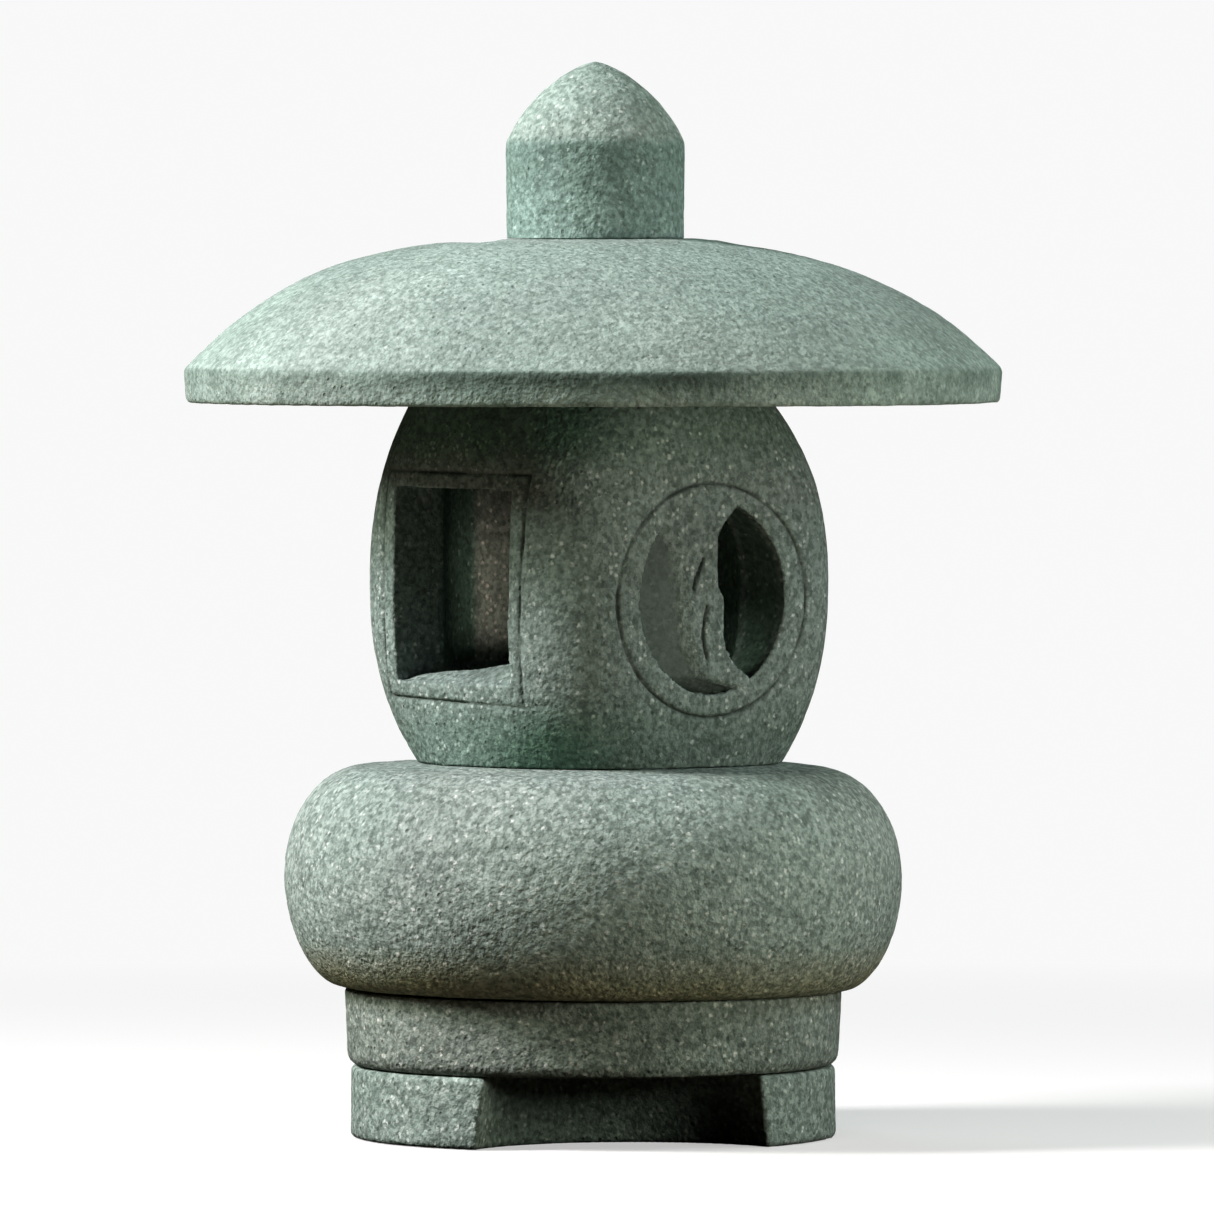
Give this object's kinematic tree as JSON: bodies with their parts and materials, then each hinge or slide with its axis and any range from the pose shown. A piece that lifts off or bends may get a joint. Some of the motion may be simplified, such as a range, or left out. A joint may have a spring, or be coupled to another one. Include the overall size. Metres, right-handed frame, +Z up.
{
  "type": "stone garden lantern",
  "caption": "Stacked stone garden lantern: scooped foot, plinth, cushion platform, hollow barrel chamber with square and moon windows, domed roof and finial, with a tea light inside.",
  "frame": {"origin": "on the lantern's axis, on the ground it stands on", "axes": "+Z up the lantern's axis. The chamber's square window faces -Y and its moon window faces +X."},
  "size_m": [0.342, 0.342, 0.45],
  "materials": {
    "finial_stone": "bush-hammered, matt",
    "roof_stone": "bush-hammered, matt",
    "chamber_stone": "fine-punched, matt",
    "platform_stone": "bush-hammered, matt",
    "plinth_stone": "fine-punched, matt",
    "foot_stone": "fine-punched, matt",
    "cup_aluminium": "pressed foil, satin",
    "clip_tin": "tinned, satin",
    "wick_cotton": "waxed cotton",
    "wax": "candle wax, satin"
  },
  "bodies": {
    "root": {"foot_stone": "foot_stone"},
    "plinth": {"plinth_ring": "plinth_stone"},
    "platform": {"platform": "platform_stone"},
    "chamber": {"light_chamber": "chamber_stone"},
    "roof": {"roof": "roof_stone"},
    "finial": {"finial": "finial_stone"},
    "tea_light": {"tea_light_cup": "cup_aluminium", "tea_light_clip": "clip_tin", "tea_light_wick": "wick_cotton", "tea_light_wax": "wax"}
  },
  "joints": [
    {"name": "plinth_lift", "type": "slide", "parent": "root", "child": "plinth", "axis": [0, 0, 1], "range_m": [0, 0.04]},
    {"name": "platform_lift", "type": "slide", "parent": "plinth", "child": "platform", "axis": [0, 0, 1], "range_m": [0, 0.04]},
    {"name": "chamber_lift", "type": "slide", "parent": "platform", "child": "chamber", "axis": [0, 0, 1], "range_m": [0, 0.04]},
    {"name": "roof_lift", "type": "slide", "parent": "chamber", "child": "roof", "axis": [0, 0, 1], "range_m": [0, 0.04]},
    {"name": "finial_lift", "type": "slide", "parent": "roof", "child": "finial", "axis": [0, 0, 1], "range_m": [0, 0.06]},
    {"name": "tea_light_out", "type": "slide", "parent": "chamber", "child": "tea_light", "axis": [0, -1, 0], "range_m": [0, 0.2]}
  ]
}
